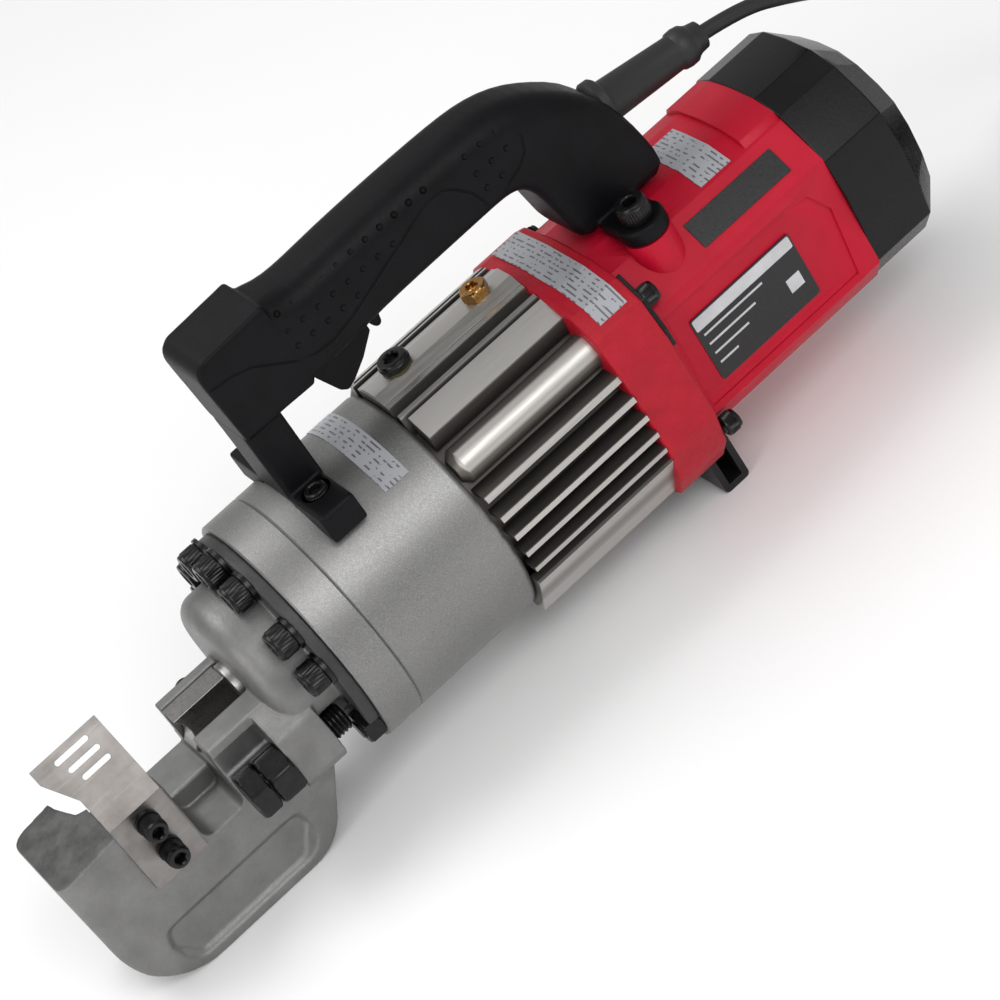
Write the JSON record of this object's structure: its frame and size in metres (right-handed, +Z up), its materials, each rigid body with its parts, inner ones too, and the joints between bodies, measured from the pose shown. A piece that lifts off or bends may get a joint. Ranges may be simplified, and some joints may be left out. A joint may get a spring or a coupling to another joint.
{
  "type": "rebar cutter",
  "caption": "Hand-held electro-hydraulic bar cutter with a C-shaped cutter head, finned oil housing, motor, bridge handle with trigger and a coiled mains lead.",
  "frame": {"origin": "middle of the tool's footprint on the surface it stands on, the mains lead left out", "axes": "+X along the hydraulic cylinder towards the motor's tail, +Z up through the handle, -Y the side with the rating plate"},
  "size_m": [0.538, 0.1562, 0.187],
  "materials": {
    "cast_steel": "cast and painted grey, fine grain",
    "tool_steel": "ground hardened steel",
    "stainless": "bent stainless sheet",
    "black_oxide": "black oxide with a thin oil sheen",
    "silver_paint": "silver enamel",
    "aluminium_fins": "brown-grey anodised casting with bright fin edges",
    "red_casting": "grainy red powder coat",
    "red_plastic": "red moulded nylon",
    "black_plastic": "fine textured black nylon",
    "black_steel": "black painted strap",
    "brass": "turned brass",
    "seal": "yellow sealing ring",
    "rubber": "black flexible rubber",
    "steel": "machined steel",
    "copper": "copper segments",
    "laminations": "varnished laminations and windings",
    "carbon": "carbon",
    "fan_plastic": "black moulded fan",
    "label_pale": "printed pale label",
    "label_dark": "printed dark label"
  },
  "bodies": {
    "root": {"badge": "label_dark", "band_screws": "black_oxide", "bearing_bridge": "aluminium_fins", "bleed_screw": "brass", "brush_holders": "copper", "carbon_brushes": "carbon", "case_labels": "label_pale", "cord_coil": "rubber", "cord_tail": "rubber", "cutter_guide_screw": "black_oxide", "cutter_head": "cast_steel", "fixed_cutter": "tool_steel", "foot_screws": "black_oxide", "front_handle_screws": "black_oxide", "front_ring": "silver_paint", "gear_housing": "aluminium_fins", "guard_plate": "stainless", "guard_screws": "black_oxide", "guard_washers": "black_oxide", "handle_left": "black_plastic", "handle_right": "black_plastic", "head_screws": "black_oxide", "head_studs": "black_oxide", "head_washers": "black_oxide", "housing_label": "label_pale", "motor_bearings": "steel", "motor_flange": "red_casting", "motor_housing": "red_plastic", "nameplate": "label_dark", "oil_plug": "black_oxide", "oil_plug_seal": "seal", "plug_body": "rubber", "plug_pins": "brass", "plunger_spring": "steel", "power_cord": "rubber", "pump_block": "steel", "pump_housing": "silver_paint", "pump_plunger": "steel", "rear_handle_screws": "black_oxide", "return_spring": "steel", "return_valve": "steel", "shaft_bearings": "steel", "stator": "laminations", "stopper_locknut": "black_oxide", "strain_relief": "rubber", "support_foot": "black_steel", "switch_module": "black_plastic", "tail_cap": "black_plastic", "trigger_spring": "steel"},
    "piston_rod": {"piston": "steel", "piston_seal": "rubber", "moving_cutter": "tool_steel", "moving_cutter_screw": "black_oxide"},
    "trigger": {"trigger": "black_plastic"},
    "stopper": {"stopper_bolt": "black_oxide"},
    "rotor": {"armature": "laminations", "commutator": "copper", "cooling_fan": "fan_plastic"},
    "eccentric": {"eccentric_shaft": "steel", "needle_bearing": "steel"}
  },
  "joints": [
    {"name": "piston_slide", "type": "slide", "parent": "root", "child": "piston_rod", "axis": [-1, 0, 0], "range_m": [0, 0.025], "stiffness_N_per_m": 1500, "springref_m": -0.004, "deforming": ["return_spring"]},
    {"name": "trigger_slide", "type": "slide", "parent": "root", "child": "trigger", "axis": [0, 0, 1], "range_m": [0, 0.0045], "stiffness_N_per_m": 400, "springref_m": -0.003, "deforming": ["trigger_spring"]},
    {"name": "stopper_slide", "type": "slide", "parent": "root", "child": "stopper", "axis": [-1, 0, 0], "range_m": [0, 0.01]},
    {"name": "rotor_spin", "type": "hinge", "parent": "root", "child": "rotor", "pos_m": [0.12425, 0, 0.0675], "axis": [1, 0, 0], "continuous": true},
    {"name": "eccentric_spin", "type": "hinge", "parent": "root", "child": "eccentric", "pos_m": [0.01425, 0, 0.0455], "axis": [1, 0, 0], "continuous": true}
  ],
  "couplings": [
    {"joint": "eccentric_spin", "follows": "rotor_spin", "ratio": -0.33333}
  ]
}
